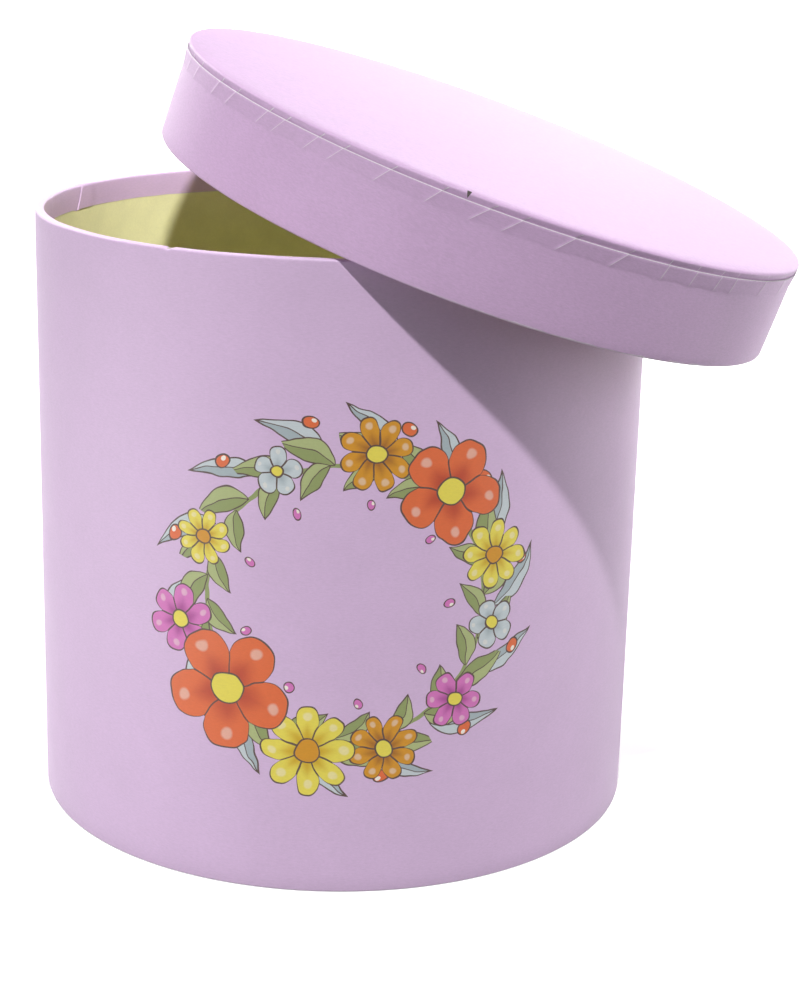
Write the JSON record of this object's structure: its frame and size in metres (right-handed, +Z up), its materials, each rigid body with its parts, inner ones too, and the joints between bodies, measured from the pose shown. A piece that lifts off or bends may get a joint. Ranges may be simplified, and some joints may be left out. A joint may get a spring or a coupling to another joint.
{
  "type": "gift box",
  "caption": "Round gift box of rolled board covered in lilac paper, olive lining inside, with a shallow lift-off lid shown lying tilted across the open rim.",
  "frame": {"origin": "centre of the underside, on the surface that the box stands on", "axes": "+Z up along the tube's axis; +X the way the leaning lid slopes down; +Y completes the frame"},
  "size_m": [0.2473, 0.2066, 0.252],
  "materials": {
    "printed_wrap_paper": "lilac covering paper, satin, printed on one side of the tube",
    "covering_paper": "lilac covering paper, satin",
    "lining_paper": "pale olive lining paper, matte",
    "grey_board": "raw grey board",
    "gummed_tape": "brown gummed tape"
  },
  "bodies": {
    "box": {"wall_board": "grey_board", "wall_joint_tape": "gummed_tape", "wall_liner": "lining_paper", "base_board": "grey_board", "floor_liner": "lining_paper", "body_wrap": "printed_wrap_paper", "base_cover": "covering_paper"},
    "lid": {"lid_top_board": "grey_board", "lid_plug_board": "grey_board", "lid_inner_cover": "lining_paper", "lid_rim_board": "grey_board", "lid_rim_joint_tape": "gummed_tape", "lid_rim_liner": "lining_paper", "lid_top_cover": "covering_paper", "lid_rim_wrap": "covering_paper"}
  },
  "joints": [
    {"name": "lid_lift", "type": "slide", "parent": "box", "child": "lid", "axis": [0, 0, 1], "range_m": [0, 0.2]}
  ]
}
